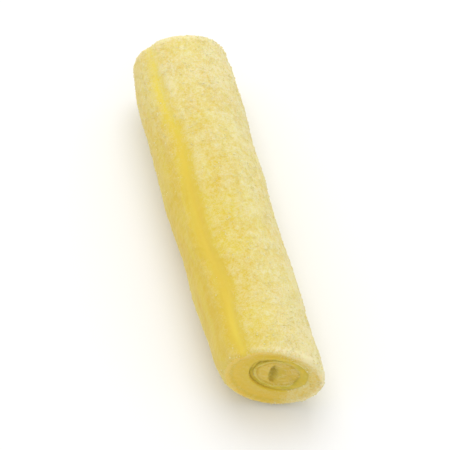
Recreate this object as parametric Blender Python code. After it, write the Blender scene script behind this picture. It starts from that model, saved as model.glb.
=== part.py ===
"""A cut length of a frozen wax bean pod, lying on its side.

The pod is one body of flesh, cut across at both ends. A pocket opens in each cut face, and in
each pocket lies the rest of a seed that was cut with the pod. The pod lies along Y, with its near
cut towards -Y, on a small flat spot of its underside. The grooved seam, where the two halves of
the pod grew together, runs along its upper shoulder on the -X side, and a fine string runs
opposite it. The origin is the middle of the underside of the pod's box.
"""

import math
from dataclasses import dataclass

import bmesh
import bpy
from mathutils import Matrix, Vector

MM = 0.001

# The pod
POD_LENGTH = 36.0 * MM
POD_DEPTH = 9.5 * MM  # from the grooved seam to the string
POD_WIDTH = 9.3 * MM  # between the two smooth sides
REST_DEPTH = 0.31 * MM  # how far the underside is pressed flat where it lies
END_LIFT = 0.5 * MM  # how far both ends curve up from the resting spot
SIDE_BOW = 0.2 * MM  # how far the middle bows towards -X
NEAR_TAPER = 0.25 * MM  # the pod is this much slimmer at its near end
NEAR_TAPER_LENGTH = 2.5 * MM
FAR_TAPER = 0.3 * MM  # and this much at its far end
FAR_TAPER_LENGTH = 3.5 * MM
SEED_BULGE = 0.07 * MM  # hidden seeds push the sides out
SEED_SPACING = 10.0 * MM
UNEVENNESS = 0.05 * MM  # slow waves of the skin, so that no two stretches are alike
UNEVEN_WAVES = ((13.0 * MM, 2, 0.8), (7.3 * MM, -3, 2.1))  # length, turns round the pod, phase

# The grooved seam and the string opposite it
SEAM_ROLLS = (  # share of the length, degrees from straight up towards -X
    (0.0, 36.5),
    (0.22, 30.0),
    (0.45, 35.0),
    (0.65, 31.0),
    (0.92, 39.5),
)
GROOVE_DEPTH = 0.16 * MM
GROOVE_HALF_WIDTH = 0.48 * MM
FAR_GROOVE_HALF_WIDTH = 0.6 * MM
FAR_GROOVE_LENGTH = 3.0 * MM  # the groove stays wide over this length at the far cut
GROOVE_NARROWS = 2.5 * MM  # and narrows over this one
RIDGE_HEIGHT = 0.07 * MM
RIDGE_HALF_WIDTH = 0.45 * MM
RIDGE_DISTANCE = 1.2 * MM  # from the groove's middle
STRING_HEIGHT = 0.12 * MM
STRING_HALF_WIDTH = 0.35 * MM

# The cut faces
NEAR_CUT_YAW = math.radians(18.0)  # the near cut is oblique: its +X side reaches further out
FAR_CUT_YAW = math.radians(2.5)  # the far cut leans the same way: its -X side reaches further out
YAW_FADE = 9.0 * MM
RIM_ROUND = 0.5 * MM
FACE_DISH = 0.15 * MM
LIP_ROUND = 0.15 * MM

# The pockets and their seeds
SEED_GAP = 0.33 * MM
SEED_SINK = 0.2 * MM  # the seed's cut face lies this far below the pod's
SEED_EDGE_ROUND = 0.15 * MM
SEED_SHAPE = 2.4  # 2 is an ellipsoid; a larger number is blunter
SEAM_CLEFT = 0.1  # the pocket reaches past round towards the seam, by this share of its radius
SEAM_CLEFT_ANGLE = math.radians(28.0)
SLIT_HALF_WIDTH = 0.27 * MM
SLIT_DEPTH = 0.8 * MM

# How finely the shapes are divided
POD_SIDES = 60
SEED_SIDES = 32
SEAM_CROWDING = 0.6  # share by which the pod's sides crowd together at the seam and the string
POD_STATIONS = 28
RIM_STEPS = 4
FACE_STEPS = 3
LIP_STEPS = 2
POCKET_STEPS = 6
SEED_FACE_STEPS = 3
SEED_EDGE_STEPS = 2
SLIT_SEGMENTS = 16
SHARP_EDGE = math.radians(50.0)

# Colours, as linear red, green and blue
SKIN_COLOUR = (0.78, 0.60, 0.17)
SEED_COLOUR = (0.66, 0.54, 0.19)
SKIN_ROUGHNESS = 0.75
SEED_ROUGHNESS = 0.6


@dataclass(frozen=True)
class Cut:
    """One cut end of the pod, with its pocket and the slit in its seed."""

    seed_name: str
    place: float  # distance along the pod from the near cut
    inward: int  # the direction along Y that leads into the pod
    pocket_radius: float
    pocket_depth: float
    pocket_shift: tuple  # from the middle line towards +X and up
    slit_half_length: float
    slit_shift: float  # from the middle of the seed towards -X
    slit_tilt: float  # from straight up towards +X


NEAR_CUT = Cut(
    seed_name="seed_near",
    place=0.0,
    inward=1,
    pocket_radius=2.45 * MM,
    pocket_depth=3.2 * MM,
    pocket_shift=(0.4 * MM, 0.5 * MM),
    slit_half_length=1.4 * MM,
    slit_shift=0.35 * MM,
    slit_tilt=math.radians(8.0),
)
FAR_CUT = Cut(
    seed_name="seed_far",
    place=POD_LENGTH,
    inward=-1,
    pocket_radius=2.05 * MM,
    pocket_depth=2.4 * MM,
    pocket_shift=(-0.25 * MM, 0.2 * MM),
    slit_half_length=1.1 * MM,
    slit_shift=-0.15 * MM,
    slit_tilt=math.radians(-38.0),
)


def ease(share):
    """Goes from 0 to 1 with no corner at either end."""
    share = min(max(share, 0.0), 1.0)
    return share * share * (3.0 - 2.0 * share)


def hill(distance, half_width):
    """A rounded hill of height 1 round distance 0."""
    return math.exp(-((distance / half_width) ** 2))


def mix(low, high, share):
    """The value at that share of the way from low to high."""
    return low + (high - low) * share


def quarter_turn(steps):
    """Angles from 0 to a quarter turn."""
    return [math.pi / 2 * step / steps for step in range(steps + 1)]


def angles_round(sides, crowding=0.0):
    """Angles once round from half a turn before the seam, closer together at the seam."""
    turns = [math.tau * side / sides - math.pi for side in range(sides)]
    return [turn - crowding * math.sin(2.0 * turn) / 2.0 for turn in turns]


POD_ANGLES = angles_round(POD_SIDES, SEAM_CROWDING)
SEED_ANGLES = angles_round(SEED_SIDES)


def seam_roll(along):
    """The seam's angle from straight up towards -X, at a distance along the pod."""
    share = along / POD_LENGTH
    roll = SEAM_ROLLS[0][1]
    for (start, low), (end, high) in zip(SEAM_ROLLS, SEAM_ROLLS[1:]):
        roll += (high - low) * ease((share - start) / (end - start))
    return math.radians(roll)


def middle_line(along):
    """A point of the line through the middle of the pod."""
    from_middle = 2.0 * along / POD_LENGTH - 1.0
    height = (POD_DEPTH + POD_WIDTH) / 4.0 - REST_DEPTH + END_LIFT * from_middle**2
    bow = -SIDE_BOW * (1.0 - from_middle**2)
    return Vector((bow, along - POD_LENGTH / 2.0, height))


def seam_relief(distance, along):
    """Height of the skin at a distance round from the seam: a groove between two ridges."""
    past_narrowing = along - (POD_LENGTH - FAR_GROOVE_LENGTH - GROOVE_NARROWS)
    widening = ease(past_narrowing / GROOVE_NARROWS)
    half_width = mix(GROOVE_HALF_WIDTH, FAR_GROOVE_HALF_WIDTH, widening)
    groove = -GROOVE_DEPTH * hill(distance, half_width)
    ridge = RIDGE_HEIGHT * hill(abs(distance) - RIDGE_DISTANCE, RIDGE_HALF_WIDTH)
    return groove + ridge


def swelling(angle, along):
    """How far the skin stands out for the hidden seeds and its unevenness, less both tapers."""
    near_taper = NEAR_TAPER * (1.0 - ease(along / NEAR_TAPER_LENGTH))
    far_taper = FAR_TAPER * (1.0 - ease((POD_LENGTH - along) / FAR_TAPER_LENGTH))
    seeds = SEED_BULGE * math.sin(angle) ** 2 * math.cos(math.tau * along / SEED_SPACING)
    waves = sum(
        math.sin(math.tau * along / length + turns * angle + phase)
        for length, turns, phase in UNEVEN_WAVES
    )
    return seeds + UNEVENNESS * waves / len(UNEVEN_WAVES) - near_taper - far_taper


def skin_radius(angle, along):
    """Distance from the middle line to the skin. The angle counts from the seam."""
    half_depth, half_width = POD_DEPTH / 2.0, POD_WIDTH / 2.0
    stretch = math.hypot(half_width * math.cos(angle), half_depth * math.sin(angle))
    oval = half_depth * half_width / stretch
    seam = seam_relief(angle * oval, along)
    string = STRING_HEIGHT * hill((math.pi - abs(angle)) * oval, STRING_HALF_WIDTH)
    return oval + seam + string + swelling(angle, along)


def slant_at(along):
    """How far a point slides along -Y for each step towards +X, so that both cuts are oblique."""
    near = math.tan(NEAR_CUT_YAW) * (1.0 - ease(along / YAW_FADE))
    far = math.tan(FAR_CUT_YAW) * (1.0 - ease((POD_LENGTH - along) / YAW_FADE))
    return near + far


def pod_point(angle, along, radius, inside=0.0, shift=(0.0, 0.0)):
    """A point at an angle from the seam and a radius from the middle line.

    The inside distance moves it along Y, and the shift moves it towards +X and up. Near the
    oblique cuts the point is slid along Y with them, and no point goes below the surface that
    the pod lies on.
    """
    direction = seam_roll(along) + angle
    across = shift[0] - math.sin(direction) * radius
    up = shift[1] + math.cos(direction) * radius
    point = middle_line(along) + Vector((across, inside - slant_at(along) * across, up))
    point.z = max(point.z, 0.0)
    return point


def cut_ring(cut, angles, radius_at, inside, shift_share=1.0):
    """A ring of points at a cut, that far inside its plane, with the radius at each angle.

    The shift share says how much of the pocket's shift from the middle line the ring takes.
    """
    shift = tuple(shift_share * distance for distance in cut.pocket_shift)
    return [pod_point(a, cut.place, radius_at(a), cut.inward * inside, shift) for a in angles]


def blunt_profile(radius, depth, steps):
    """Radius and depth of a blunt, closed half seed, from its mouth to just before its tip."""
    power = 2.0 / SEED_SHAPE
    turns = quarter_turn(steps)[:-1]
    return [(radius * math.cos(t) ** power, depth * math.sin(t) ** power) for t in turns]


def pocket_stretch(angle):
    """The pocket's radius as a share of round: it reaches further towards the seam."""
    return 1.0 + SEAM_CLEFT * hill(angle, SEAM_CLEFT_ANGLE)


def middle_point(cut, inside, beside=0.0):
    """The point in the middle of a cut's pocket, or beside it towards -X, that far inside."""
    shift = (cut.pocket_shift[0] - beside, cut.pocket_shift[1])
    return pod_point(0.0, cut.place, 0.0, cut.inward * inside, shift)


def rim_rings(cut):
    """Rings from the skin over the rounded rim to the cut face."""
    rings = []
    for turn in quarter_turn(RIM_STEPS):
        inset = RIM_ROUND * (1.0 - math.cos(turn))
        inside = RIM_ROUND * (1.0 - math.sin(turn))
        rings.append(
            cut_ring(cut, POD_ANGLES, lambda a: skin_radius(a, cut.place) - inset, inside, 0.0)
        )
    return rings


def face_rings(cut):
    """Rings across the slightly dished cut face, between its rim and the pocket's lip."""
    rings = []
    for step in range(1, FACE_STEPS + 1):
        share = step / (FACE_STEPS + 1)

        def radius_at(angle):
            rim = skin_radius(angle, cut.place) - RIM_ROUND
            lip = cut.pocket_radius * pocket_stretch(angle) + LIP_ROUND
            return mix(rim, lip, share)

        dish = FACE_DISH * math.sin(math.pi * share)
        rings.append(cut_ring(cut, POD_ANGLES, radius_at, dish, share))
    return rings


def pocket_rings(cut):
    """Rings over the pocket's rounded lip and down its wall."""
    rings = []
    for turn in quarter_turn(LIP_STEPS)[:-1]:
        past = LIP_ROUND * (1.0 - math.sin(turn))
        inside = LIP_ROUND * (1.0 - math.cos(turn))
        rings.append(
            cut_ring(
                cut,
                POD_ANGLES,
                lambda a: cut.pocket_radius * pocket_stretch(a) + past,
                inside,
            )
        )
    wall_depth = cut.pocket_depth - LIP_ROUND
    for radius, depth in blunt_profile(cut.pocket_radius, wall_depth, POCKET_STEPS):
        rings.append(
            cut_ring(cut, POD_ANGLES, lambda a: radius * pocket_stretch(a), LIP_ROUND + depth)
        )
    return rings


def cut_rings(cut):
    """All rings of one end, from the skin to the bottom of its pocket."""
    return rim_rings(cut) + face_rings(cut) + pocket_rings(cut)


def body_rings():
    """Rings along the skin between the two cuts."""
    first = 2.0 * RIM_ROUND
    last = POD_LENGTH - first
    rings = []
    for station in range(POD_STATIONS + 1):
        along = mix(first, last, station / POD_STATIONS)
        rings.append([pod_point(a, along, skin_radius(a, along)) for a in POD_ANGLES])
    return rings


def join_rings(mesh_name, rings, first_tip, last_tip):
    """One closed mesh through rings of equal count, closed to a tip at each end."""
    mesh_under_way = bmesh.new()
    rows = [[mesh_under_way.verts.new(point) for point in ring] for ring in rings]
    for row, next_row in zip(rows, rows[1:]):
        for side in range(len(row)):
            before = side - 1
            mesh_under_way.faces.new((row[before], row[side], next_row[side], next_row[before]))
    for row, tip in ((rows[0], first_tip), (rows[-1], last_tip)):
        tip_vertex = mesh_under_way.verts.new(tip)
        for side in range(len(row)):
            mesh_under_way.faces.new((row[side - 1], row[side], tip_vertex))
    bmesh.ops.recalc_face_normals(mesh_under_way, faces=mesh_under_way.faces)
    mesh = bpy.data.meshes.new(mesh_name)
    mesh_under_way.to_mesh(mesh)
    mesh_under_way.free()
    mesh.shade_smooth()
    mesh.set_sharp_from_angle(angle=SHARP_EDGE)
    return mesh


def add_object(name, mesh, parent):
    """A new object in the scene, held by its parent."""
    made = bpy.data.objects.new(name, mesh)
    made.parent = parent
    bpy.context.scene.collection.objects.link(made)
    return made


def plain_material(name, colour, roughness):
    """A material of one colour."""
    material = bpy.data.materials.new(name)
    material.use_nodes = True
    shader = material.node_tree.nodes["Principled BSDF"]
    shader.inputs["Base Color"].default_value = (*colour, 1.0)
    shader.inputs["Roughness"].default_value = roughness
    shader.inputs["Metallic"].default_value = 0.0
    return material


def make_pod(parent):
    """The pod: skin, cut faces and both pockets as one closed body."""
    near = list(reversed(cut_rings(NEAR_CUT)))
    rings = near + body_rings() + cut_rings(FAR_CUT)
    near_tip, far_tip = (middle_point(cut, cut.pocket_depth) for cut in (NEAR_CUT, FAR_CUT))
    pod = add_object("pod", join_rings("pod", rings, near_tip, far_tip), parent)
    pod.data.materials.append(plain_material("pod_skin", SKIN_COLOUR, SKIN_ROUGHNESS))
    return pod


def seed_rings(cut):
    """Rings of the seed, from the middle of its cut face round its edge to its hidden tip."""
    radius = cut.pocket_radius - SEED_GAP
    flat_radius = radius - SEED_EDGE_ROUND
    profile = []
    for step in range(1, SEED_FACE_STEPS):
        profile.append((flat_radius * step / SEED_FACE_STEPS, SEED_SINK))
    for turn in quarter_turn(SEED_EDGE_STEPS):
        edge_radius = flat_radius + SEED_EDGE_ROUND * math.sin(turn)
        profile.append((edge_radius, SEED_SINK + SEED_EDGE_ROUND * (1.0 - math.cos(turn))))
    edge_depth = SEED_SINK + SEED_EDGE_ROUND
    wall_depth = cut.pocket_depth - SEED_GAP - edge_depth
    for wall_radius, depth in blunt_profile(radius, wall_depth, POCKET_STEPS)[1:]:
        profile.append((wall_radius, edge_depth + depth))
    return [cut_ring(cut, SEED_ANGLES, lambda a: ring, inside) for ring, inside in profile]


def make_slit_cutter(cut, parent):
    """A slim ellipsoid in the seed's face, which cuts the slit between its two halves."""
    mesh = bpy.data.meshes.new(f"{cut.seed_name}_slit")
    ball = bmesh.new()
    bmesh.ops.create_uvsphere(ball, u_segments=SLIT_SEGMENTS, v_segments=SLIT_SEGMENTS, radius=1.0)
    size = Matrix.Diagonal((SLIT_HALF_WIDTH, SLIT_DEPTH, cut.slit_half_length, 1.0))
    ball.transform(size)
    ball.to_mesh(mesh)
    ball.free()
    cutter = add_object(f"{cut.seed_name}_slit", mesh, parent)
    cutter.location = middle_point(cut, SEED_SINK, cut.slit_shift)
    cutter.rotation_euler.y = cut.slit_tilt
    cutter.hide_render = True
    cutter.display_type = "WIRE"
    return cutter


def make_seed(cut, parent):
    """The rest of a cut seed, clear of its pocket all round, with the slit in its face."""
    face_middle = middle_point(cut, SEED_SINK)
    hidden_tip = middle_point(cut, cut.pocket_depth - SEED_GAP)
    mesh = join_rings(cut.seed_name, seed_rings(cut), face_middle, hidden_tip)
    seed = add_object(cut.seed_name, mesh, parent)
    slit = seed.modifiers.new("slit", "BOOLEAN")
    slit.operation = "DIFFERENCE"
    slit.solver = "EXACT"
    slit.object = make_slit_cutter(cut, parent)
    seed.data.materials.append(plain_material(cut.seed_name, SEED_COLOUR, SEED_ROUGHNESS))
    return seed


def box_middle(mesh):
    """The middle of a mesh's box in X and Y."""
    xs = [vertex.co.x for vertex in mesh.vertices]
    ys = [vertex.co.y for vertex in mesh.vertices]
    return Vector(((min(xs) + max(xs)) / 2.0, (min(ys) + max(ys)) / 2.0, 0.0))


def main():
    """Clears the scene and builds the bean, held by one empty."""
    for old in list(bpy.data.objects):
        bpy.data.objects.remove(old)
    bean = add_object("bean", None, None)
    pod = make_pod(bean)
    for cut in (NEAR_CUT, FAR_CUT):
        make_seed(cut, bean)
    bean.location = -box_middle(pod.data)
    bpy.context.view_layer.update()


main()
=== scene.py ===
# %% [markdown]
# A frosted length of wax bean
#
# A wax bean is a snap bean with a yellow pod. This one was cut into short lengths, frozen, and
# taken out again, so a thin veil of frost lies on its skin and on both cut faces.
# The solids of the pod and of its two cut seeds come in ready made, at their real size. They fix
# where everything is. The lesson makes the finer surface that goes over them: the pod with its
# grooved seam, the seeds, the frost, and a finish for each.

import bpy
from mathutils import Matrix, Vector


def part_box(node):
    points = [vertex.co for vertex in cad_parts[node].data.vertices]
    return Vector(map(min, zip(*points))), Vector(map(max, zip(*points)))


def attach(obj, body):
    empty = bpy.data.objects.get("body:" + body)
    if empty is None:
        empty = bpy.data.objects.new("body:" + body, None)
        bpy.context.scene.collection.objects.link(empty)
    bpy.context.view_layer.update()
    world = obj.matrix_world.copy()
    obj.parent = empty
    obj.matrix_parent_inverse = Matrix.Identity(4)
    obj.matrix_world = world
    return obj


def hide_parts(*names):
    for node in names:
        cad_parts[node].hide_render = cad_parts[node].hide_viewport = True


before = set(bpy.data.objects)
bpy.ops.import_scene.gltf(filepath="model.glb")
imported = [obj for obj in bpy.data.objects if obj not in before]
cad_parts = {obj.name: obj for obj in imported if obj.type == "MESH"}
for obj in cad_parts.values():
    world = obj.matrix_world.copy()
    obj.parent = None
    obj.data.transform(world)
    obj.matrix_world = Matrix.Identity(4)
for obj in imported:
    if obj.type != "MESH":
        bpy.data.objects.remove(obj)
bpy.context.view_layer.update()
print("solids:", sorted(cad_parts))

# %% Tools and units
import math

import bmesh
import bpy
import numpy as np
from mathutils import Vector, noise

MM = 0.001
rng = np.random.default_rng(7)

# %% [markdown]
# The measures of the pod
#
# The pod grew as a nearly round tube. Two seams run along it. One is a groove between two low
# ridges, the other only a fine raised string. Hidden seeds push the sides out a little, and both
# ends taper. The near cut is oblique and the far one nearly square.
# The finer surface is built from the same measures as the solids. Only its place is read from the
# frame, so nothing has to be fitted by eye.

# %% Sizes of the pod
POD_LENGTH = 36.0 * MM
POD_DEPTH = 9.5 * MM
POD_WIDTH = 9.3 * MM
MEAN_RADIUS = (POD_DEPTH + POD_WIDTH) / 4
REST_DEPTH = 0.31 * MM
END_LIFT = 0.5 * MM
SIDE_BOW = 0.2 * MM
NEAR_TAPER, NEAR_TAPER_LENGTH = 0.25 * MM, 2.5 * MM
FAR_TAPER, FAR_TAPER_LENGTH = 0.3 * MM, 3.5 * MM
SEED_BULGE = 0.07 * MM
SEED_SPACING = 10.0 * MM
UNEVENNESS = 0.05 * MM
UNEVEN_WAVES = ((13.0 * MM, 2, 0.8), (7.3 * MM, -3, 2.1))
SEAM_ROLLS = ((0.0, 36.5), (0.22, 30.0), (0.45, 35.0), (0.65, 31.0), (0.92, 39.5))
NEAR_CUT_YAW = math.radians(18.0)
FAR_CUT_YAW = math.radians(2.5)
YAW_FADE = 9.0 * MM


# %% Small helpers for shapes
def ease(share):
    """Goes from 0 to 1 with no corner at either end."""
    share = np.clip(share, 0.0, 1.0)
    return share * share * (3.0 - 2.0 * share)


def hill(distance, half_width):
    """A rounded hill of height 1 round distance 0."""
    return np.exp(-((distance / half_width) ** 2))


def mix(low, high, share):
    """The value at that share of the way from low to high."""
    return low + (high - low) * share


# %% [markdown]
# Straight first, bent last
#
# The real pod is bowed, twisted and cut at a slant. Shaping all that directly would be fiddly.
# So each piece is modelled on a straight pod, whose middle line is the Y axis and whose seam
# looks straight up. One function then lays every point down where the bent pod has it. Pod,
# seeds and frost go through the same function, and so they still fit each other afterwards.


# %% Lay a point of the straight pod down
def seam_roll(along):
    """How far the seam leans from straight up towards -X, at a distance along the pod."""
    share = along / POD_LENGTH
    roll = SEAM_ROLLS[0][1]
    for (start, low), (end, high) in zip(SEAM_ROLLS, SEAM_ROLLS[1:]):
        roll = roll + (high - low) * ease((share - start) / (end - start))
    return np.radians(roll)


def slant_at(along):
    """How far a point slides along -Y for each step towards +X, which gives each cut its slant."""
    near = math.tan(NEAR_CUT_YAW) * (1.0 - ease(along / YAW_FADE))
    far = math.tan(FAR_CUT_YAW) * (1.0 - ease((POD_LENGTH - along) / YAW_FADE))
    return near + far


def lay_down(points):
    """Straight pod to real pod: roll, bow, lift, slant both cuts, and press the rest flat."""
    x, y, z = points.T
    along = np.clip(y + POD_LENGTH / 2, 0.0, POD_LENGTH)
    roll = seam_roll(along)
    across = x * np.cos(roll) - z * np.sin(roll)
    up = x * np.sin(roll) + z * np.cos(roll)
    from_middle = 2.0 * along / POD_LENGTH - 1.0
    middle_x = -SIDE_BOW * (1.0 - from_middle**2)
    middle_z = MEAN_RADIUS - REST_DEPTH + END_LIFT * from_middle**2
    real_y = y - slant_at(along) * across
    return np.column_stack((middle_x + across, real_y, np.maximum(middle_z + up, 0.0)))


def unroll(across, up, along):
    """The step on the straight pod that becomes this step across and up on the real one."""
    roll = seam_roll(along)
    x = across * np.cos(roll) + up * np.sin(roll)
    z = up * np.cos(roll) - across * np.sin(roll)
    return np.column_stack((x, np.zeros_like(x), z))


# %% Read and write the points of a piece
def points_of(piece):
    """All points of a piece as an array."""
    flat = np.empty(len(piece.data.vertices) * 3, np.float32)
    piece.data.vertices.foreach_get("co", flat)
    return flat.reshape(-1, 3).astype(float)


def set_points(piece, points):
    """Moves all points of a piece."""
    piece.data.vertices.foreach_set("co", points.astype(np.float32).ravel())
    piece.data.update()


def paint(piece, name, values):
    """Stores a number for each point, which a finish can read."""
    attribute = piece.data.attributes.new(name, "FLOAT", "POINT")
    attribute.data.foreach_set("value", values.astype(np.float32))


def paint_place(piece, name, points):
    """Stores a place for each point, in millimetres."""
    attribute = piece.data.attributes.new(name, "FLOAT_VECTOR", "POINT")
    attribute.data.foreach_set("vector", (points / MM).astype(np.float32).ravel())


# %% [markdown]
# The pod's cage
#
# The pod could be a curve with a bevel, but then its ends would be plain lids. A cylinder gives
# rings that insets can carry over the cut face and down into the pocket, as one closed skin.
# The rim is beveled, the face is inset in steps, and further insets with a depth sink the pocket.
# The side is divided along its length, and a subdivision surface rounds it all.


# %% Selecting by place
FACING = 0.999


def edit(piece, element):
    """Enters edit mode on one piece, picking faces or edges."""
    bpy.ops.object.select_all(action="DESELECT")
    piece.select_set(True)
    bpy.context.view_layer.objects.active = piece
    bpy.ops.object.mode_set(mode="EDIT")
    bpy.ops.mesh.select_mode(type=element)
    bpy.ops.mesh.select_all(action="DESELECT")


def pick_faces(piece, *way):
    """Selects the faces that look straight that way."""
    cage = bmesh.from_edit_mesh(piece.data)
    for face in cage.faces:
        face.select_set(face.normal.dot(Vector(way)) > FACING)
    bmesh.update_edit_mesh(piece.data)


def pick_edges(piece, long):
    """Selects the edges that run all the way along the pod, or all others."""
    cage = bmesh.from_edit_mesh(piece.data)
    for edge in cage.edges:
        edge.select_set((edge.calc_length() > POD_LENGTH / 2) == long)
    bmesh.update_edit_mesh(piece.data)


def finish_edit():
    """Back to object mode."""
    bpy.ops.object.mode_set(mode="OBJECT")


def apply_modifier(piece, kind, **settings):
    """Adds a modifier with its settings and applies it."""
    bpy.context.view_layer.objects.active = piece
    modifier = piece.modifiers.new(kind.lower(), kind)
    for setting, value in settings.items():
        setattr(modifier, setting, value)
    bpy.ops.object.modifier_apply(modifier=modifier.name)


# %% A cylinder along Y
def add_tube(name, sides, radius, length, middle_y):
    """A closed cylinder along Y, with its size and place in its mesh."""
    bpy.ops.object.select_all(action="DESELECT")
    bpy.ops.mesh.primitive_cylinder_add(
        vertices=sides,
        radius=radius,
        depth=length,
        end_fill_type="NGON",
        rotation=(math.pi / 2, 0.0, 0.0),
        location=(0.0, middle_y, 0.0),
    )
    piece = bpy.context.object
    piece.name = name
    piece.data.name = name
    bpy.ops.object.transform_apply(location=True, rotation=True, scale=True)
    return piece


# %% Sink a selected face along a profile
SEED_SHAPE = 2.4


def blunt_profile(radius, depth, steps):
    """Radius and depth of half a seed, from its mouth to near its tip."""
    turns = [math.pi / 2 * step / steps for step in range(steps)]
    power = 2 / SEED_SHAPE
    return [(radius * math.cos(t) ** power, depth * math.sin(t) ** power) for t in turns]


def inset_along(profile, outward):
    """Insets the selected face once for each step of the profile, in or out."""
    for (radius, depth), (next_radius, next_depth) in zip(profile, profile[1:]):
        bpy.ops.mesh.inset(
            thickness=radius - next_radius, depth=outward * (next_depth - depth)
        )


# %% Sizes of the cut faces
RIM_ROUND = 0.5 * MM
FACE_DISH = 0.15 * MM
LIP_ROUND = 0.15 * MM
POCKETS = {-1: (2.45 * MM, 3.2 * MM), 1: (2.05 * MM, 2.4 * MM)}  # end: radius, depth
SHIFTS = {-1: (0.4 * MM, 0.5 * MM), 1: (-0.25 * MM, 0.2 * MM)}  # end: across, up
RIM_SEGMENTS = 4
POD_SIDES = 54
SIDE_CUTS = 65
FACE_INSETS = 5
POCKET_STEPS = 5


# %% Build the cage
def face_profile(pocket_radius):
    """Radius and depth across the cut face: dished between the rim and the pocket's lip."""
    rim, lip = MEAN_RADIUS - RIM_ROUND, pocket_radius + LIP_ROUND
    shares = [step / FACE_INSETS for step in range(FACE_INSETS + 1)]
    return [(mix(rim, lip, s), FACE_DISH * math.sin(math.pi * s)) for s in shares]


def open_end(piece, end):
    """Shapes one cut end: dished face, lip and pocket."""
    edit(piece, "FACE")
    pick_faces(piece, 0, end, 0)
    radius, depth = POCKETS[end]
    inset_along(face_profile(radius), -1)
    lip = [(radius + LIP_ROUND, 0.0), (radius, LIP_ROUND)]
    wall = [(r, LIP_ROUND + d) for r, d in blunt_profile(radius, depth, POCKET_STEPS)]
    inset_along(lip + wall[1:], -1)
    finish_edit()


pod = add_tube("bean_pod", POD_SIDES, MEAN_RADIUS, POD_LENGTH, 0.0)
edit(pod, "EDGE")
pick_edges(pod, long=False)
bpy.ops.mesh.bevel(offset=RIM_ROUND, segments=RIM_SEGMENTS, profile=0.5, affect="EDGES")
finish_edit()
for end in POCKETS:
    open_end(pod, end)
edit(pod, "EDGE")
pick_edges(pod, long=True)
bpy.ops.mesh.subdivide(number_cuts=SIDE_CUTS)
finish_edit()
apply_modifier(pod, "SUBSURF", levels=2, render_levels=2)
print("pod cage has", len(pod.data.polygons), "faces")

# %% [markdown]
# Seam, ridges and bulges
#
# A loop cut along the seam and a few moved edges would do for a coarse model. The groove here is
# only about a millimetre wide and is wider at the far end, so its height is a formula that is
# added to every point's radius. The points are first drawn together towards the seam, where
# the fine shape is.

# %% Sizes of the seam
GROOVE_DEPTH = 0.16 * MM
GROOVE_HALF_WIDTH = 0.48 * MM
FAR_GROOVE_HALF_WIDTH = 0.6 * MM
FAR_GROOVE_LENGTH = 3.0 * MM
GROOVE_NARROWS = 2.5 * MM
RIDGE_HEIGHT = 0.07 * MM
RIDGE_HALF_WIDTH = 0.45 * MM
RIDGE_DISTANCE = 1.2 * MM
STRING_HEIGHT = 0.12 * MM
STRING_HALF_WIDTH = 0.35 * MM
SEAM_CLEFT = 0.1
SEAM_CLEFT_ANGLE = math.radians(28.0)
SEAM_CROWDING = 0.4


# %% Height of the skin round the pod
def groove_half_width(along):
    """The groove is wide at the far cut and narrow on the rest of the pod."""
    past = along - (POD_LENGTH - FAR_GROOVE_LENGTH - GROOVE_NARROWS)
    return mix(GROOVE_HALF_WIDTH, FAR_GROOVE_HALF_WIDTH, ease(past / GROOVE_NARROWS))


def seam_masks(angle, along):
    """Where the groove and its two ridges are, each from 0 to 1."""
    distance = angle * MEAN_RADIUS
    groove = hill(distance, groove_half_width(along))
    ridge = hill(np.abs(distance) - RIDGE_DISTANCE, RIDGE_HALF_WIDTH)
    return groove, ridge


def swelling(angle, along):
    """The bulges over hidden seeds and slow waves, less the tapers of both ends."""
    near_taper = NEAR_TAPER * (1.0 - ease(along / NEAR_TAPER_LENGTH))
    far_taper = FAR_TAPER * (1.0 - ease((POD_LENGTH - along) / FAR_TAPER_LENGTH))
    seeds = SEED_BULGE * np.sin(angle) ** 2 * np.cos(math.tau * along / SEED_SPACING)
    waves = sum(
        np.sin(math.tau * along / length + turns * angle + phase)
        for length, turns, phase in UNEVEN_WAVES
    )
    return seeds + UNEVENNESS * waves / len(UNEVEN_WAVES) - near_taper - far_taper


def skin_radius(angle, along):
    """Distance from the middle line to the skin, at an angle from the seam."""
    half_depth, half_width = POD_DEPTH / 2, POD_WIDTH / 2
    stretch = np.hypot(half_width * np.cos(angle), half_depth * np.sin(angle))
    oval = half_depth * half_width / stretch
    groove, ridge = seam_masks(angle, along)
    string = hill((math.pi - np.abs(angle)) * oval, STRING_HALF_WIDTH)
    relief = RIDGE_HEIGHT * ridge - GROOVE_DEPTH * groove + STRING_HEIGHT * string
    return oval + relief + swelling(angle, along)


# %% Shape the straight pod
def polar(points):
    """Angle from the seam, distance along, and radius of points on the straight pod."""
    x, y, z = points.T
    return np.arctan2(-x, z), y + POD_LENGTH / 2, np.hypot(x, z)


def from_polar(angle, along, radius):
    """The point of the straight pod at an angle, a distance along and a radius."""
    y = along - POD_LENGTH / 2
    return np.column_stack((-np.sin(angle) * radius, y, np.cos(angle) * radius))


def nearer(values, along):
    """The value of the nearer end."""
    return np.where(along < POD_LENGTH / 2, values[-1], values[1])


POCKET_RADII = {end: radius for end, (radius, _depth) in POCKETS.items()}


def pocket_shift(along):
    """The step from the middle line to the middle of the nearer pocket, on the straight pod."""
    across = nearer({end: shift[0] for end, shift in SHIFTS.items()}, along)
    up = nearer({end: shift[1] for end, shift in SHIFTS.items()}, along)
    return unroll(across, up, along)


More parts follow.
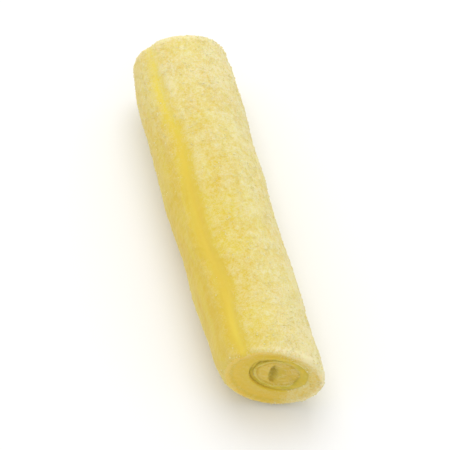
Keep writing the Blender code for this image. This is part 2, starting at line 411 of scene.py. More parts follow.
cage_angle, along, radius = polar(points_of(pod))
angle = cage_angle - SEAM_CROWDING * np.sin(cage_angle)
lip_radius = nearer(POCKET_RADII, along) + LIP_ROUND
rim_radius = MEAN_RADIUS - RIM_ROUND
out = np.clip((radius - lip_radius) / (rim_radius - lip_radius), 0.0, 1.0)
pocket_stretch = 1.0 + SEAM_CLEFT * hill(angle, SEAM_CLEFT_ANGLE)
skin_stretch = skin_radius(angle, along) / MEAN_RADIUS
straight = from_polar(angle, along, radius * mix(pocket_stretch, skin_stretch, out))
straight = straight + pocket_shift(along) * (1.0 - out)[:, None]
set_points(pod, straight)

# %% Find the way to the frame
pod_low, pod_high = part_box("pod")
smooth = lay_down(straight)
home = (np.array(pod_low + pod_high) - smooth.min(axis=0) - smooth.max(axis=0)) / 2
home[2] = 0.0
print("laid down, the pod is", [round(size / MM, 2) for size in np.ptp(smooth, axis=0)], "mm")
print("its solid is", [round(size / MM, 2) for size in pod_high - pod_low], "mm")


def put_in_place(piece):
    """Lays a piece down and moves it to where the solids are."""
    set_points(piece, lay_down(points_of(piece)) + home)


# %% Note what lies where, for the finishes
RIM_CREST = 0.4 * RIM_ROUND
RIM_FROST_HALF_WIDTH = 0.5 * MM

groove, ridge = seam_masks(angle, along)
on_skin = ease((radius - rim_radius) / RIM_ROUND)
from_end = np.minimum(along, POD_LENGTH - along)
rim_distance = np.hypot(from_end, MEAN_RADIUS - radius) - RIM_CREST
rim = hill(rim_distance, RIM_FROST_HALF_WIDTH)
pocket_radius = nearer(POCKET_RADII, along)
paint(pod, "rim", rim)
paint(pod, "ring", (radius - pocket_radius) / (MEAN_RADIUS - pocket_radius))
paint(pod, "inside", np.where(radius < lip_radius, from_end / MM, 0.0))
paint_place(pod, "straight", straight)

# %% [markdown]
# Grain of the frozen skin
#
# Under frost the skin isn't smooth: it is slightly dented, and the frost stands on it in grains.
# Bump alone would leave a smooth outline, so the larger grains are real shape. Displace modifiers
# with procedural textures of different sizes move the points along their normals. How far each
# point moved is stored, so that the finish can whiten the very grains that stand up.


# %% Displace with a texture of a given size
def roughen(piece, size, height, group=""):
    """Moves the points in and out by a cloudy texture."""
    texture = bpy.data.textures.new(f"clouds_{size / MM:.2f}_mm", "CLOUDS")
    texture.noise_scale = size
    texture.noise_depth = 1
    apply_modifier(
        piece,
        "DISPLACE",
        texture=texture,
        texture_coords="LOCAL",
        strength=height,
        mid_level=0.5,
        vertex_group=group,
    )


def weigh(piece, name, weights):
    """A vertex group with a weight for each point."""
    group = piece.vertex_groups.new(name=name)
    for index, weight in enumerate(weights):
        group.add([index], float(weight), "REPLACE")


def grow_grains(piece, grains, group=""):
    """Roughens a piece and stores how far each point moved, from 0 for hollows to 1 for grains."""
    before = points_of(piece)
    for size, height in grains:
        roughen(piece, size, height, group)
    normals = np.empty(len(before) * 3, np.float32)
    piece.data.vertices.foreach_get("normal", normals)
    moved = ((points_of(piece) - before) * normals.reshape(-1, 3)).sum(axis=1)
    low, high = np.percentile(moved, (3, 97))
    paint(piece, "grain", np.clip((moved - low) / (high - low), 0.0, 1.0))
    print(piece.name, "has grains", round((high - low) / MM, 3), "mm high")


# %% Roughen the pod
DENTS = (4.5 * MM, 0.16 * MM)
POD_GRAINS = ((1.2 * MM, 0.11 * MM), (0.45 * MM, 0.11 * MM))
SMOOTH_LENGTH = 4.0 * MM
SMOOTH_FADE = 7.0 * MM
NEAR_GRAIN = 0.55
POCKET_GRAIN = 0.3
GROOVE_SMOOTHING = 0.7

grain_share = mix(NEAR_GRAIN, 1.0, ease((along - SMOOTH_LENGTH) / SMOOTH_FADE))
grain_share = (1.0 - GROOVE_SMOOTHING * groove * on_skin) * grain_share
grain_share = np.where(radius < lip_radius, POCKET_GRAIN, grain_share)
weigh(pod, "frosted", np.clip(grain_share, 0.0, 1.0))
roughen(pod, *DENTS, "frosted")
grow_grains(pod, POD_GRAINS, "frosted")
put_in_place(pod)

# %% [markdown]
# How thick the frost lies
#
# Frost gathers on what stands out: ridges and cut rims. The groove stays nearly bare and shows
# the deep yellow of the skin. The upper side, towards +X, carries more frost than the flank beyond
# the seam, and so do both ends. On that flank, thinner frost and a gold tint are partly painted
# shade; at the ends, the far one most, extra frost and a lighter bare band are partly painted
# light. One number on each point holds the frost. Further numbers hold where the bare band lies,
# how much lighter the ends are painted, and where the painted gold shade lies.

# %% The parts of the pod
FAR_PART_FROM, FAR_PART_FADE = 0.45 * POD_LENGTH, 0.5 * POD_LENGTH
NEAR_PART_TO, NEAR_PART_FADE = 2.0 * MM, 9.0 * MM
LEFT_FADE = 1.4

far_share = ease((along - FAR_PART_FROM) / FAR_PART_FADE)
near_share = 1.0 - ease((along - NEAR_PART_TO) / NEAR_PART_FADE)
towards_left = np.sin(seam_roll(along) + angle)
left_share = ease(0.5 + towards_left / LEFT_FADE)
flank_share = ease(towards_left)
right_share = ease(-towards_left)

# %% The bare band
BARE_HALF_WIDTH = 0.6 * MM
NEAR_BARE_HALF_WIDTH = 0.42 * MM
WAVER = 0.12 * MM
WAVER_LENGTH = 8.3 * MM

waver = WAVER * np.sin(math.tau * along / WAVER_LENGTH + 1.0)
half_width = mix(BARE_HALF_WIDTH, NEAR_BARE_HALF_WIDTH, near_share)
band = hill(angle * MEAN_RADIUS + waver, half_width) * on_skin

# %% The frost
TOP_FROST = 0.58
# Extra frost at both ends: at the far end partly painted light, which makes that end lighter.
FAR_FROST, RIGHT_FROST, NEAR_FROST, RIM_EXTRA = 0.1, 0.1, 0.2, 0.32
RIDGE_EXTRA, FAR_RIDGE_EXTRA = 0.12, 0.22
# Thinner frost on the flank beyond the seam, most towards the near end: partly thinner frost, partly
# painted shade.
LEFT_THINNING_AND_SHADE, FAR_LEFT_THINNING_AND_SHADE = 0.44, 0.16
# The band is left less bare at the far end, which lightens it there: painted light.
BAND_LACK, FAR_BAND_LACK = 0.5, 0.28
FLANK_SHADE = 0.1

thickness = TOP_FROST + FAR_FROST * far_share + RIGHT_FROST * right_share
thickness += NEAR_FROST * near_share * (1.0 - left_share)
thickness -= mix(LEFT_THINNING_AND_SHADE, FAR_LEFT_THINNING_AND_SHADE, far_share) * left_share
thickness -= FLANK_SHADE * (1.0 - far_share) * flank_share
thickness += mix(RIDGE_EXTRA, FAR_RIDGE_EXTRA, far_share) * ridge * on_skin
# The cut rims get extra frost: partly real frost, partly painted light that lightens rims facing away
# from the light.
thickness += RIM_EXTRA * rim * on_skin
thickness -= mix(BAND_LACK, FAR_BAND_LACK, far_share) * band
thin, thick = np.percentile(thickness, (5, 95))
print("frost thickness goes from", round(thin, 2), "to", round(thick, 2))

# %% Store it all on the pod
FAR_BAND, NEAR_PALE, FAR_GOLDEN_SHADE = 0.8, 0.5, 0.4

# Painted light: the bare band fades at the far end, and both ends, the far one most, are painted
# lighter.
paint(pod, "band", band * mix(1.0, FAR_BAND, far_share))
paint(pod, "pale", far_share + NEAR_PALE * near_share)
# Painted shade: a gold tint on the flank beyond the seam, weaker at the far end.
paint(pod, "golden_shade", flank_share * mix(1.0, FAR_GOLDEN_SHADE, far_share) * on_skin)
paint(pod, "frost", thickness)

# %% [markdown]
# The cut seeds
#
# Each pocket holds what the knife left of a seed: a blunt half egg with a thin coat round its
# edge, two halves that meet in a slit, and a cut face that sank a little as it froze.
# A sphere cut in half has its rings the wrong way round for that face. So it is a tube again,
# with one end inset into coat and flesh and the other rounded off by insets that grow outwards.

# %% Sizes of the seeds
SEED_GAP = 0.33 * MM
SEED_SINK = 0.2 * MM
SEED_SIDES = 24
SEED_STEPS = 6
SEED_FACE_INSETS = 8
SEED_WALL = 0.6 * MM
SEED_GRAINS = ((0.9 * MM, 0.24 * MM), (0.35 * MM, 0.13 * MM))
COAT_THICKNESS = 0.24 * MM
COAT_STEP = 0.07 * MM
SLIT_HALF_WIDTH = 0.32 * MM
SLIT_DEPTH = 0.5 * MM
SLITS = {-1: (1.4 * MM, 0.35 * MM, 8.0), 1: (1.1 * MM, -0.15 * MM, -38.0)}  # half, shift, tilt
SLIT_FADE = 0.5 * MM
SHADE_SHIFT = 0.25 * MM
SHADE_HALF_WIDTH = 0.62 * MM
CROWN_HEIGHT = 0.1 * MM
CROWN_RADIUS = 2.0 * MM
HALVES_BLEND = 0.3 * MM


# %% Build a seed
def build_seed(name, end):
    """One cut seed on the straight pod, with its face turned out of the pod."""
    pocket_radius, pocket_depth = POCKETS[end]
    radius = pocket_radius - SEED_GAP
    face_y = end * (POD_LENGTH / 2 - SEED_SINK)
    seed = add_tube(name, SEED_SIDES, radius, SEED_WALL, face_y - end * SEED_WALL / 2)
    blunt_depth = pocket_depth - SEED_GAP - SEED_SINK - SEED_WALL
    edit(seed, "FACE")
    pick_faces(seed, 0, -end, 0)
    inset_along(blunt_profile(radius, blunt_depth, SEED_STEPS), 1)
    bpy.ops.mesh.select_all(action="DESELECT")
    pick_faces(seed, 0, end, 0)
    inner = radius - COAT_THICKNESS
    inset_along([(radius, 0.0), (inner + COAT_STEP, 0.0)], 1)
    inset_along([(inner + COAT_STEP, 0.0), (inner, COAT_STEP)], -1)
    shares = [1 - step / SEED_FACE_INSETS for step in range(SEED_FACE_INSETS)]
    inset_along([(inner * share, 0.0) for share in shares], 1)
    finish_edit()
    apply_modifier(seed, "SUBSURF", levels=2, render_levels=2)
    return seed


# %% Press the slit into a seed
def press_slit(seed, end):
    """Presses the slit between the seed's halves into its face, and crowns both halves."""
    half_length, shift, tilt = SLITS[end]
    points = points_of(seed)
    roll = float(seam_roll(np.array(0.0 if end < 0 else POD_LENGTH)))
    x, y, z = points.T
    right = x * math.cos(roll) - z * math.sin(roll) + shift
    up = x * math.sin(roll) + z * math.cos(roll)
    lean = math.radians(tilt)
    across = right * math.cos(lean) - up * math.sin(lean)
    length = right * math.sin(lean) + up * math.cos(lean)
    sunk = POD_LENGTH / 2 - SEED_SINK - np.abs(y)
    near_face = ease(1.0 - sunk / SLIT_FADE)
    lens = np.sqrt(np.clip(1.0 - (length / half_length) ** 2, 0.0, 1.0))
    slit = hill(across, SLIT_HALF_WIDTH * (0.25 + 0.75 * lens)) * lens * near_face
    shade = hill(across - SHADE_SHIFT, SHADE_HALF_WIDTH) * lens * near_face
    crown = CROWN_HEIGHT * np.clip(1.0 - np.hypot(x, z) / CROWN_RADIUS, 0.0, 1.0) * near_face
    points[:, 1] = y + end * (crown - SLIT_DEPTH * slit)
    set_points(seed, points)
    paint(seed, "slit", slit)
    paint(seed, "shade", shade)
    paint(seed, "half", np.tanh(across / HALVES_BLEND))


# %% Make both seeds
def shift_to_pocket(piece, end):
    """Moves a piece of the straight pod from the middle line to the middle of its pocket."""
    points = points_of(piece)
    at_cut = np.zeros(len(points)) if end < 0 else np.full(len(points), POD_LENGTH)
    set_points(piece, points + unroll(*SHIFTS[end], at_cut))


def make_seed(name, end):
    """A finished seed where the real pod has it."""
    seed = build_seed(name, end)
    start = points_of(seed)
    press_slit(seed, end)
    paint(seed, "ring", np.hypot(start[:, 0], start[:, 2]) / (POCKETS[end][0] - SEED_GAP))
    shift_to_pocket(seed, end)
    grow_grains(seed, SEED_GRAINS)
    put_in_place(seed)
    return seed


near_seed = make_seed("near_seed", -1)
far_seed = make_seed("far_seed", 1)

# %% [markdown]
# The film round a seed
#
# A soft film joins the seed to its pocket. It lies a little below the cut, so the gap round the
# seed looks like a shallow olive furrow and not like a deep, dark well. A ring of that width is
# quickest as a torus, half of it hidden in the gap. Towards the seam the pocket reaches further
# out, and the film is drawn out with it.

# %% Lay a film into each gap
FILM_DEPTH = 0.42 * MM
FILM_HALF_WIDTH = 0.42 * MM
FILM_FLATNESS = 0.48
FILM_TILT = 0.06
FILM_DENTS = (0.6 * MM, 0.16 * MM)


def make_film(name, end):
    """A ring of film in the gap between a seed and its pocket."""
    bpy.ops.object.select_all(action="DESELECT")
    bpy.ops.mesh.primitive_torus_add(
        major_segments=96,
        minor_segments=16,
        major_radius=POCKETS[end][0] - SEED_GAP / 2,
        minor_radius=FILM_HALF_WIDTH,
        rotation=(math.pi / 2 + end * FILM_TILT, 0.0, end * FILM_TILT),
        location=(0.0, end * (POD_LENGTH / 2 - FILM_DEPTH), 0.0),
    )
    film = bpy.context.object
    film.name = film.data.name = name
    film.scale.z = FILM_FLATNESS
    bpy.ops.object.transform_apply(location=True, rotation=True, scale=True)
    film_angle, film_along, film_radius = polar(points_of(film))
    stretch = 1.0 + SEAM_CLEFT * hill(film_angle, SEAM_CLEFT_ANGLE)
    set_points(film, from_polar(film_angle, film_along, film_radius * stretch))
    shift_to_pocket(film, end)
    roughen(film, *FILM_DENTS)
    put_in_place(film)
    return film


near_film = make_film("near_film", -1)
far_film = make_film("far_film", 1)

# %% [markdown]
# Shader building blocks
#
# Every finish below is built from nodes. Three effects that the finishes share are groups: the
# veil of frost with its fine grain, streaks that run along the pod, and soft blotches. A group is
# built once and placed in each finish with its own values, so the frost matches everywhere.


# %% Helpers for nodes
def feed(tree, socket, value):
    """Links another socket into a socket, or sets its value."""
    if isinstance(value, bpy.types.NodeSocket):
        tree.links.new(value, socket)
    else:
        socket.default_value = value


def add_node(tree, kind, **inputs):
    """A new node with its inputs, which are numbers, colours or other sockets."""
    node = tree.nodes.new(kind)
    for name, value in inputs.items():
        feed(tree, node.inputs[name.replace("_", " ")], value)
    return node


def calculate(tree, operation, first, second, clamp=False):
    """One sum of two numbers or sockets."""
    node = tree.nodes.new("ShaderNodeMath")
    node.operation = operation
    node.use_clamp = clamp
    feed(tree, node.inputs[0], first)
    feed(tree, node.inputs[1], second)
    return node.outputs[0]


def weighted(tree, parts):
    """The sum of several parts, each a socket and its weight, counted from its middle at 0.5."""
    total = 0.0
    for socket, weight in parts:
        part = calculate(tree, "MULTIPLY", calculate(tree, "SUBTRACT", socket, 0.5), weight)
        total = calculate(tree, "ADD", part, total)
    return total


# %% Nodes for ranges, noises and colours
def spread(tree, value, low, high, to_low=0.0, to_high=1.0):
    """Spreads the part of a value between low and high over a new range, with soft ends."""
    node = tree.nodes.new("ShaderNodeMapRange")
    node.interpolation_type = "SMOOTHSTEP"
    feed(tree, node.inputs["Value"], value)
    node.inputs["From Min"].default_value = low
    node.inputs["From Max"].default_value = high
    node.inputs["To Min"].default_value = to_low
    node.inputs["To Max"].default_value = to_high
    return node.outputs["Result"]


def add_noise(tree, place, scale, detail=2.0, roughness=0.5):
    """A soft noise from 0 to 1, with so many grains for each millimetre."""
    node = add_node(
        tree, "ShaderNodeTexNoise", Vector=place, Scale=scale, Detail=detail, Roughness=roughness
    )
    return node.outputs["Fac"]


def blend(tree, share, first, second):
    """Mixes two colours, each a colour or a socket."""
    node = tree.nodes.new("ShaderNodeMix")
    node.data_type = "RGBA"
    for name, value in (("Factor", share), ("A", first), ("B", second)):
        feed(tree, next(s for s in node.inputs if s.name == name and s.enabled), value)
    return next(s for s in node.outputs if s.enabled)


# %% Nodes that read the piece
def painted(tree, name, output="Fac"):
    """What was stored on the piece's points under that name."""
    node = tree.nodes.new("ShaderNodeAttribute")
    node.attribute_name = name
    return node.outputs[output]


def millimetres(tree):
    """The piece's own coordinates, in millimetres."""
    coordinates = tree.nodes.new("ShaderNodeTexCoord")
    scaled = add_node(
        tree, "ShaderNodeMapping", Vector=coordinates.outputs["Object"], Scale=(1 / MM,) * 3
    )
    return scaled.outputs["Vector"]


# %% Groups
FLOAT = "NodeSocketFloat"
VECTOR = "NodeSocketVector"


def new_group(name, inputs, output):
    """An empty shader group with named inputs. Returns its tree, its inputs and its output."""
    tree = bpy.data.node_groups.new(name, "ShaderNodeTree")
    for socket, kind in inputs.items():
        tree.interface.new_socket(name=socket, in_out="INPUT", socket_type=kind)
    tree.interface.new_socket(name=output, in_out="OUTPUT", socket_type=FLOAT)
    start = tree.nodes.new("NodeGroupInput")
    end = tree.nodes.new("NodeGroupOutput")
    return tree, start.outputs, end.inputs[output]


def place_group(tree, group, **inputs):
    """A group placed in a finish with its own values. Returns its output."""
    node = tree.nodes.new("ShaderNodeGroup")
    node.node_tree = group
    for name, value in inputs.items():
        feed(tree, node.inputs[name], value)
    return node.outputs[0]


# %% The veil of frost
def build_veil():
    """How white the frost is: thick on grains, broken up by drifts and specks."""
    inputs = {"Place": VECTOR, "Thickness": FLOAT, "Grain": FLOAT}
    tree, start, end = new_group("frost veil", inputs, "Veil")
    drift = spread(tree, add_noise(tree, start["Place"], 0.3, 2.0), 0.35, 0.65)
    cloud = spread(tree, add_noise(tree, start["Place"], 1.0, 2.0), 0.35, 0.65)
    speck = spread(tree, add_noise(tree, start["Place"], 2.8, 2.0), 0.38, 0.62)
    dust = spread(tree, add_noise(tree, start["Place"], 7.0, 1.0), 0.38, 0.62)
    parts = ((drift, 0.08), (cloud, 0.08), (speck, 0.22), (dust, 0.34), (start["Grain"], 0.38))
    varied = weighted(tree, parts)
    feed(tree, end, calculate(tree, "ADD", varied, start["Thickness"], clamp=True))
    return tree


# %% The fine grain of frost
def build_fine_grain():
    """The height of grains that are finer than the mesh."""
    tree, start, end = new_group("fine grain", {"Place": VECTOR}, "Height")
    coarse = add_noise(tree, start["Place"], 3.2, 2.0, 0.6)
    fine = add_noise(tree, start["Place"], 8.0, 2.0, 0.6)
    feed(tree, end, weighted(tree, ((coarse, 0.6), (fine, 0.4))))
    return tree


# %% Streaks and blotches
def build_streaks():
    """Fine streaks along the pod, where its fibres run."""
    tree, start, end = new_group("long streaks", {"Place": VECTOR}, "Streak")
    stretched = add_node(
        tree, "ShaderNodeMapping", Vector=start["Place"], Scale=(1.0, 0.1, 1.0)
    ).outputs["Vector"]
    coarse = add_noise(tree, stretched, 1.1)
    fine = add_noise(tree, stretched, 3.2)
    both = weighted(tree, ((coarse, 0.6), (fine, 0.4)))
    feed(tree, end, spread(tree, both, -0.15, 0.15))
    return tree


def build_blotches():
    """Soft, cloudy blotches of more and less ripe flesh."""
    tree, start, end = new_group("soft blotches", {"Place": VECTOR}, "Blotch")
    feed(tree, end, spread(tree, add_noise(tree, start["Place"], 0.25), 0.36, 0.64))
    return tree


veil_group = build_veil()
grain_group = build_fine_grain()
streak_group = build_streaks()
blotch_group = build_blotches()

# %% [markdown]
# The skin's finish
#
# The skin of a wax bean is yellow all through, deeper where it is bare of frost. Real flesh
# lets light in and out again, so the shader has subsurface scattering, which softens every shade.
# Frost is a paler colour over the yellow, as thick as the veil says. A little sheen whitens the
# sides that are seen at a glancing angle, as loose frost does.

# %% Colours
GOLD = (0.67, 0.46, 0.035, 1.0)
YELLOW = (0.71, 0.55, 0.06, 1.0)
LEMON = (0.71, 0.60, 0.10, 1.0)
BARE_YELLOW = (0.73, 0.53, 0.06, 1.0)
BARE_LIT_YELLOW = (0.84, 0.69, 0.085, 1.0)
FROST = (0.77, 0.71, 0.41, 1.0)
RIM_FROST = (0.85, 0.78, 0.50, 1.0)
GOLDEN_SHADE_FROST = (0.72, 0.57, 0.18, 1.0)
FLESH = (0.76, 0.52, 0.05, 1.0)
FLESH_DEEP = (0.68, 0.49, 0.04, 1.0)
FLESH_RING = (0.62, 0.46, 0.035, 1.0)
FILM = (0.58, 0.45, 0.04, 1.0)
COAT = (0.62, 0.50, 0.07, 1.0)
COTYLEDON = (0.70, 0.505, 0.075, 1.0)
COTYLEDON_DEEP = (0.58, 0.40, 0.028, 1.0)
SLIT = (0.42, 0.31, 0.02, 1.0)

FLESH_LIGHT = {
    "Subsurface Weight": 0.35,
    "Subsurface Radius": (1.0, 0.7, 0.2),
    "Subsurface Scale": 0.8 * MM,
    "Specular IOR Level": 0.22,
    "Sheen Weight": 0.14,
    "Sheen Roughness": 0.55,
    "Sheen Tint": (1.0, 0.95, 0.86, 1.0),
}


# %% Start a finish
def new_finish(name, constants):
    """A material with a Principled shader and its constant values."""
    material = bpy.data.materials.new(name)
    material.use_nodes = True
    shader = material.node_tree.nodes["Principled BSDF"]
    for socket, value in constants.items():
        shader.inputs[socket].default_value = value
    return material, material.node_tree, shader


def add_frost(tree, shader, colour, frost_colour, thickness, cover=0.85):
    """Lays frost over a colour and feeds colour, roughness and fine grain to the shader."""
    place = millimetres(tree)
    veil = place_group(
        tree, veil_group, Place=place, Thickness=thickness, Grain=painted(tree, "grain")
    )
    share = calculate(tree, "MULTIPLY", veil, cover)
    feed(tree, shader.inputs["Base Color"], blend(tree, share, colour, frost_colour))
    feed(tree, shader.inputs["Roughness"], spread(tree, veil, 0.0, 1.0, 0.5, 0.85))
    height = place_group(tree, grain_group, Place=place)
    bump = add_node(
        tree, "ShaderNodeBump", Height=height, Distance=0.09 * MM, Strength=0.6
    )
    tree.links.new(bump.outputs["Normal"], shader.inputs["Normal"])


# %% Build the skin
def build_skin():
    """Yellow skin under a veil of frost."""
    material, tree, shader = new_finish("frosted_skin", FLESH_LIGHT)
    place = millimetres(tree)
    streak = place_group(tree, streak_group, Place=painted(tree, "straight", "Vector"))
    blotch = place_group(tree, blotch_group, Place=place)
    under = blend(tree, spread(tree, blotch, 0.0, 1.0, 0.35, 1.0), GOLD, YELLOW)
    # Painted shade: a deeper gold tint on the flank beyond the seam.
    under = blend(tree, calculate(tree, "MULTIPLY", painted(tree, "golden_shade"), 0.7), under, GOLD)
    under = blend(tree, calculate(tree, "MULTIPLY", streak, 0.45), under, LEMON)
    bare = calculate(tree, "MULTIPLY", painted(tree, "band"), 0.8)
    # Painted light: towards the ends, the far one most, the bare band is a lighter yellow and the
    # frost paler.
    pale = painted(tree, "pale")
    bare_colour = blend(tree, pale, BARE_YELLOW, BARE_LIT_YELLOW)
    under = blend(tree, bare, under, bare_colour)
    frost_colour = blend(tree, calculate(tree, "MULTIPLY", pale, 0.45), FROST, RIM_FROST)
    frost_colour = blend(tree, painted(tree, "rim"), frost_colour, RIM_FROST)
    # Painted shade: gold-tinted frost on the same flank.
    frost_colour = blend(tree, painted(tree, "golden_shade"), frost_colour, GOLDEN_SHADE_FROST)
    add_frost(tree, shader, under, frost_colour, painted(tree, "frost"))
    return material


# %% [markdown]
# The cut flesh
#
# A cut across a bean shows rings: the pale rim where the skin was cut, a darker ring of vessels,
# juicy flesh that turns deeper towards the pocket, and the pocket's thin pale lining. How far out
# a point lies between the pocket and the skin was stored on it, and that drives the colours.


# %% Build the cut flesh
def ring_between(tree, value, low, high):
    """A soft ring where a value lies between low and high."""
    middle = (low + high) / 2
    rise = spread(tree, value, low, middle)
    return calculate(tree, "MULTIPLY", rise, spread(tree, value, middle, high, 1.0, 0.0))


def build_flesh():
    """Flesh of the cut faces and of the pockets."""
    material, tree, shader = new_finish("cut_flesh", FLESH_LIGHT)
    place = millimetres(tree)
    ring, rim, inside = (painted(tree, name) for name in ("ring", "rim", "inside"))
    uneven = weighted(tree, ((add_noise(tree, place, 0.9, 3.0, 0.6), 0.3),))
    wobble = calculate(tree, "ADD", ring, uneven)
    colour = blend(tree, spread(tree, wobble, 0.0, 0.7), FLESH_DEEP, FLESH)
    vessels = calculate(tree, "MULTIPLY", ring_between(tree, wobble, 0.48, 0.78), 0.55)
    colour = blend(tree, vessels, colour, FLESH_RING)
    deep = spread(tree, inside, 0.1, 0.9)
    colour = blend(tree, deep, colour, FILM)
    thick = calculate(tree, "MULTIPLY", rim, 0.5)
    upper = spread(tree, painted(tree, "frost"), 0.4, 0.75, -0.06, 0.34)
    # Painted shade: the lower left of the cut face, where the frost is thin, takes the gold-tinted
    # frost of the shaded flank.
    lower = spread(tree, painted(tree, "frost"), 0.4, 0.75, 0.6, 0.0)
    thick = calculate(tree, "ADD", thick, upper)
    thick = calculate(tree, "SUBTRACT", thick, calculate(tree, "MULTIPLY", deep, 0.4))
    frost_colour = blend(tree, lower, blend(tree, rim, FROST, RIM_FROST), GOLDEN_SHADE_FROST)
    add_frost(tree, shader, colour, frost_colour, thick)
    return material


# %% [markdown]
# The seed's finish
#
# A young seed is soft and pale. Its coat shows as a light ring round the cut, one half is
# mottled deeper than the other, and the slit between them is dark because little light gets out
# of it. The film round the seed is plain olive.


# %% Build the seed's finish and the film
def build_seed_finish():
    """Coat, two halves and slit of a cut seed."""
    material, tree, shader = new_finish("cut_seed", FLESH_LIGHT)
    place = millimetres(tree)
    ring, half, slit, shade = (painted(tree, name) for name in ("ring", "half", "slit", "shade"))
    mottle = weighted(tree, ((add_noise(tree, place, 1.4, 3.0, 0.6), 1.6),))
    deeper = spread(tree, half, -1.0, 1.0, 0.05, 0.55)
    deeper = calculate(tree, "ADD", deeper, mottle, clamp=True)
    colour = blend(tree, deeper, COTYLEDON, COTYLEDON_DEEP)
    colour = blend(tree, calculate(tree, "MULTIPLY", shade, 0.8), colour, FILM)
    colour = blend(tree, ring_between(tree, ring, 0.74, 0.92), colour, COTYLEDON_DEEP)
    colour = blend(tree, spread(tree, ring, 0.86, 0.94), colour, COAT)
    colour = blend(tree, calculate(tree, "MULTIPLY", slit, 0.9), colour, SLIT)
    thick = calculate(tree, "SUBTRACT", 0.05, calculate(tree, "MULTIPLY", slit, 0.5))
    add_frost(tree, shader, colour, FROST, thick, 0.7)
    return material


def build_film_finish():
    """Olive film, mottled a little towards deeper flesh."""
    material, tree, shader = new_finish("seed_film", FLESH_LIGHT)
    tone = spread(tree, add_noise(tree, millimetres(tree), 1.2), 0.35, 0.65)
    feed(tree, shader.inputs["Base Color"], blend(tree, tone, FILM, FLESH_DEEP))
    shader.inputs["Roughness"].default_value = 0.6
    return material


# %% Dress the pod, the seeds and the films
pod.data.materials.append(build_skin())
pod.data.materials.append(build_flesh())
cut_point = radius < MEAN_RADIUS - 0.5 * RIM_ROUND
for polygon in pod.data.polygons:
    polygon.material_index = int(cut_point[list(polygon.vertices)].mean() > 0.5)
seed_finish = build_seed_finish()
film_finish = build_film_finish()
for seed in (near_seed, far_seed):
    seed.data.materials.append(seed_finish)
for film in (near_film, far_film):
    film.data.materials.append(film_finish)
for piece in (pod, near_seed, far_seed, near_film, far_film):
    piece.data.shade_smooth()

# %% [markdown]
# Loose frost
#
# Here and there the frost stands up in single crystals. They roughen the outline and break up the
# shine. One crystal is modelled and copied some thousands of times, each copy small, turned and
# stretched by chance, and sunk into the skin by less than half. All copies are one mesh, and each has
# fewer than thirty faces, so that the piece stays light.

# %% Model one crystal
CRYSTAL_SIDES = 5
POINT_INSET, POINT_HEIGHT = 0.55, 0.4


def model_crystal():
    """A stubby five-sided crystal, pointed at one end. Returns its points and faces."""
    bpy.ops.object.select_all(action="DESELECT")
    bpy.ops.mesh.primitive_cylinder_add(
        vertices=CRYSTAL_SIDES, radius=1.0, depth=1.0, end_fill_type="NGON", location=(0, 0, 0.5)
    )
    crystal = bpy.context.object
    bpy.ops.object.transform_apply(location=True, rotation=True, scale=True)
    edit(crystal, "FACE")
    pick_faces(crystal, 0, 0, 1)
    bpy.ops.mesh.inset(thickness=POINT_INSET, depth=POINT_HEIGHT)
    bpy.ops.mesh.select_all(action="SELECT")
    bpy.ops.mesh.quads_convert_to_tris()
    finish_edit()
    points = points_of(crystal)
    faces = np.array([face.vertices[:] for face in crystal.data.polygons])
    bpy.data.objects.remove(crystal)
    return points, faces


crystal_points, crystal_faces = model_crystal()
print("one crystal has", len(crystal_faces), "faces")


# %% Choose where crystals stand
PLACES_TRIED = 12000
DRIFT_SIZES = (1.5 * MM, 0.5 * MM)
DRIFT_LIMITS = (-0.5, 0.6)
FLOOR_CLEARANCE = 0.4 * MM


def scatter(piece, count, liking):
    """Random places on a piece, each with its normal, more where the liking is high."""
    piece.data.calc_loop_triangles()
    corners = np.array([triangle.vertices[:] for triangle in piece.data.loop_triangles])
    a, b, c = (points_of(piece)[corners[:, k]] for k in range(3))
    cross = np.cross(b - a, c - a)
    area = np.linalg.norm(cross, axis=1)
    chance = area * liking[corners[:, 0]]
    picked = rng.choice(len(area), size=count, p=chance / chance.sum())
    u, v = rng.random((2, count, 1))
    fold = u + v > 1
    u, v = np.where(fold, 1 - u, u), np.where(fold, 1 - v, v)
    places = a[picked] + u * (b - a)[picked] + v * (c - a)[picked]
    return places, cross[picked] / area[picked, None]


def frost_stands(place):
    """Crystals gather in drifts, and stay clear of the surface that the pod rests on."""
    coarse, fine = (noise.noise(Vector(place) / size) for size in DRIFT_SIZES)
    return place[2] > FLOOR_CLEARANCE and coarse + 0.5 * fine > rng.uniform(*DRIFT_LIMITS)


# %% Copy the crystal over the bean
CRYSTAL_SIZES = (0.04 * MM, 0.09 * MM)
CRYSTAL_WIDTHS = (0.6, 1.1)
CRYSTAL_HEIGHTS = (0.5, 1.1)
CRYSTAL_LEAN = 0.5
CRYSTAL_SUNK = 0.45
LEAST_LIKING = 0.02
CUT_LIKING = 0.3


def unit(vectors):
    """The vectors with length 1."""
    return vectors / np.linalg.norm(vectors, axis=1)[:, None]


def copy_crystals(name, places, normals):
    """One mesh with a crystal at each place."""
    count = len(places)
    size = np.exp(rng.uniform(*np.log(CRYSTAL_SIZES), count))[:, None]
    lean = unit(normals + CRYSTAL_LEAN * rng.normal(size=(count, 3)))
    side = unit(np.cross(lean, rng.normal(size=(count, 3))))
    wide = size * rng.uniform(*CRYSTAL_WIDTHS, (count, 1))
    tall = size * rng.uniform(*CRYSTAL_HEIGHTS, (count, 1))
    axes = np.stack((side * wide, np.cross(lean, side) * wide, lean * tall), axis=1)
    moved = (crystal_points - (0, 0, CRYSTAL_SUNK)) @ axes + places[:, None]
    faces = crystal_faces + (np.arange(count) * len(crystal_points))[:, None, None]
    mesh = bpy.data.meshes.new(name)
    mesh.from_pydata(moved.reshape(-1, 3).tolist(), [], faces.reshape(-1, 3).tolist())
    piece = bpy.data.objects.new(name, mesh)
    bpy.context.scene.collection.objects.link(piece)
    return piece


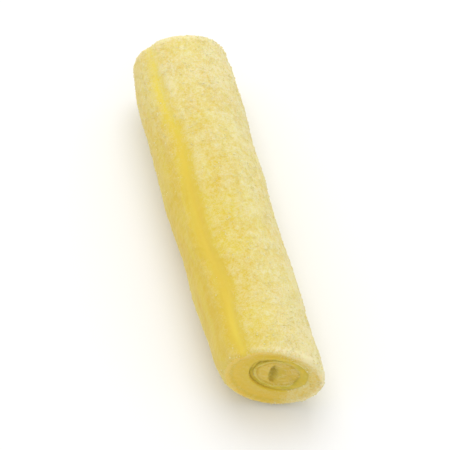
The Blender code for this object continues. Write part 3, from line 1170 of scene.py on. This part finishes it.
liking = np.clip(thickness, LEAST_LIKING, 1.0) ** 2 * mix(CUT_LIKING, 1.0, on_skin)
places, normals = scatter(pod, PLACES_TRIED, liking)
standing = [frost_stands(place) for place in places]
frost = copy_crystals("loose_frost", places[standing], normals[standing])
print("frost has", sum(standing), "crystals with", len(frost.data.polygons), "faces")

# %% Build the ice
ICE_LIGHT = {"Roughness": 0.6, "Specular IOR Level": 0.2}
ICE_DEEP = (0.76, 0.65, 0.24, 1.0)
ICE_PALE = (0.80, 0.73, 0.40, 1.0)
ice, ice_tree, ice_shader = new_finish("loose_ice", ICE_LIGHT)
tint = spread(ice_tree, add_noise(ice_tree, millimetres(ice_tree), 1.5), 0.35, 0.65)
ice_colour = blend(ice_tree, tint, ICE_DEEP, ICE_PALE)
feed(ice_tree, ice_shader.inputs["Base Color"], ice_colour)
frost.data.materials.append(ice)

# %% [markdown]
# Tie the pieces to the frame
#
# Each new piece stands for the solid that it covers and rides on the one body that the bean is.
# The film and the loose frost have no solid of their own.

# %% Ride and replace
for piece, node, slot in (
    (pod, "pod", "pod_flesh"),
    (near_seed, "seed_near", "seed_flesh"),
    (far_seed, "seed_far", "seed_flesh"),
):
    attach(piece, "root")
    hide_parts(node)
for piece, slot in (
    (near_film, "seed_flesh"),
    (far_film, "seed_flesh"),
    (frost, "pod_flesh"),
):
    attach(piece, "root")

# %% [markdown]
# Floor, light and camera
#
# A pale floor and broad, soft light keep attention on the bean: most of it comes from all round,
# and one large lamp above and a little behind the bean gives it shape. The camera looks down at
# the near cut end, so that the pod leans from the lower right to the upper left, with its seam
# on the left. It stands far off with a long lens, which keeps both ends equally thick.

# %% Floor
bpy.ops.object.select_all(action="DESELECT")
bpy.ops.mesh.primitive_plane_add(size=3.0, location=(0, 0, 0))
floor = bpy.context.object
floor.name = "floor"
floor_finish, _tree, floor_shader = new_finish("floor", {"Roughness": 0.9})
floor_shader.inputs["Base Color"].default_value = (0.93, 0.93, 0.93, 1.0)
floor_shader.inputs["Specular IOR Level"].default_value = 0.1
floor.data.materials.append(floor_finish)

# %% Light
world = bpy.data.worlds.new("studio")
world.use_nodes = True
world.node_tree.nodes["Background"].inputs["Color"].default_value = (1.0, 1.0, 1.0, 1.0)
world.node_tree.nodes["Background"].inputs["Strength"].default_value = 0.84
bpy.context.scene.world = world

lamp = bpy.data.lights.new("key", "AREA")
lamp.size = 0.3
lamp.energy = 0.53
lamp_place = Vector((0.02, 0.12, 0.35))
lamp_object = bpy.data.objects.new("key", lamp)
lamp_object.location = lamp_place
lamp_object.rotation_euler = (-lamp_place).to_track_quat("-Z", "Y").to_euler()
bpy.context.scene.collection.objects.link(lamp_object)

# %% Camera
CAMERA_AZIMUTH = math.radians(-14.0)
CAMERA_ELEVATION = math.radians(56.0)
VIEW_HEIGHT = 41.0 * MM
LOOK_AT = Vector((0.0, 0.0, 4.6 * MM))
back = Vector(
    (
        math.sin(CAMERA_AZIMUTH) * math.cos(CAMERA_ELEVATION),
        -math.cos(CAMERA_AZIMUTH) * math.cos(CAMERA_ELEVATION),
        math.sin(CAMERA_ELEVATION),
    )
)
camera_data = bpy.data.cameras.new("camera")
camera_data.lens = 600.0
camera_data.sensor_width = 36.0
camera_data.clip_start = 0.01
camera_data.clip_end = 10.0
camera = bpy.data.objects.new("camera", camera_data)
distance = VIEW_HEIGHT * camera_data.lens / camera_data.sensor_width
camera.location = LOOK_AT + back * distance
camera.rotation_euler = (-back).to_track_quat("-Z", "Y").to_euler()
bpy.context.scene.collection.objects.link(camera)
bpy.context.scene.camera = camera
bpy.context.scene.view_settings.view_transform = "Standard"
